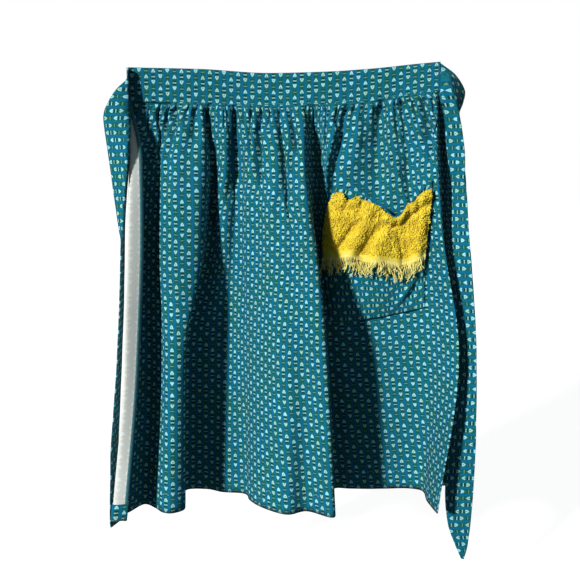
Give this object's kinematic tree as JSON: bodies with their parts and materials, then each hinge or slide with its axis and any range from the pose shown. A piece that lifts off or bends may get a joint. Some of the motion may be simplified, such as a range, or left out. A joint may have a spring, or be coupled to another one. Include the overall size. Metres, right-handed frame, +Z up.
{
  "type": "half waist apron",
  "caption": "Gathered cotton half apron on a folded waistband, with a patch pocket under a fringed terry trim and long pointed ties at both ends.",
  "frame": {"origin": "middle of the waistband's top edge, where the apron hangs at the waist", "axes": "+Z up along the hanging skirt, +X to the right as seen from the front, -Y out of the apron's front toward the viewer"},
  "size_m": [0.4495, 0.1221, 0.6072],
  "materials": {
    "apron_print": "plain-woven cotton, printed with small pale motifs in columns on teal",
    "terry": "looped yellow terry with a flat woven border and a fringe"
  },
  "bodies": {
    "root": {"waistband": "apron_print", "skirt": "apron_print", "pocket": "apron_print", "pocket_trim": "terry", "tie_left": "apron_print", "tie_right": "apron_print"}
  },
  "joints": []
}
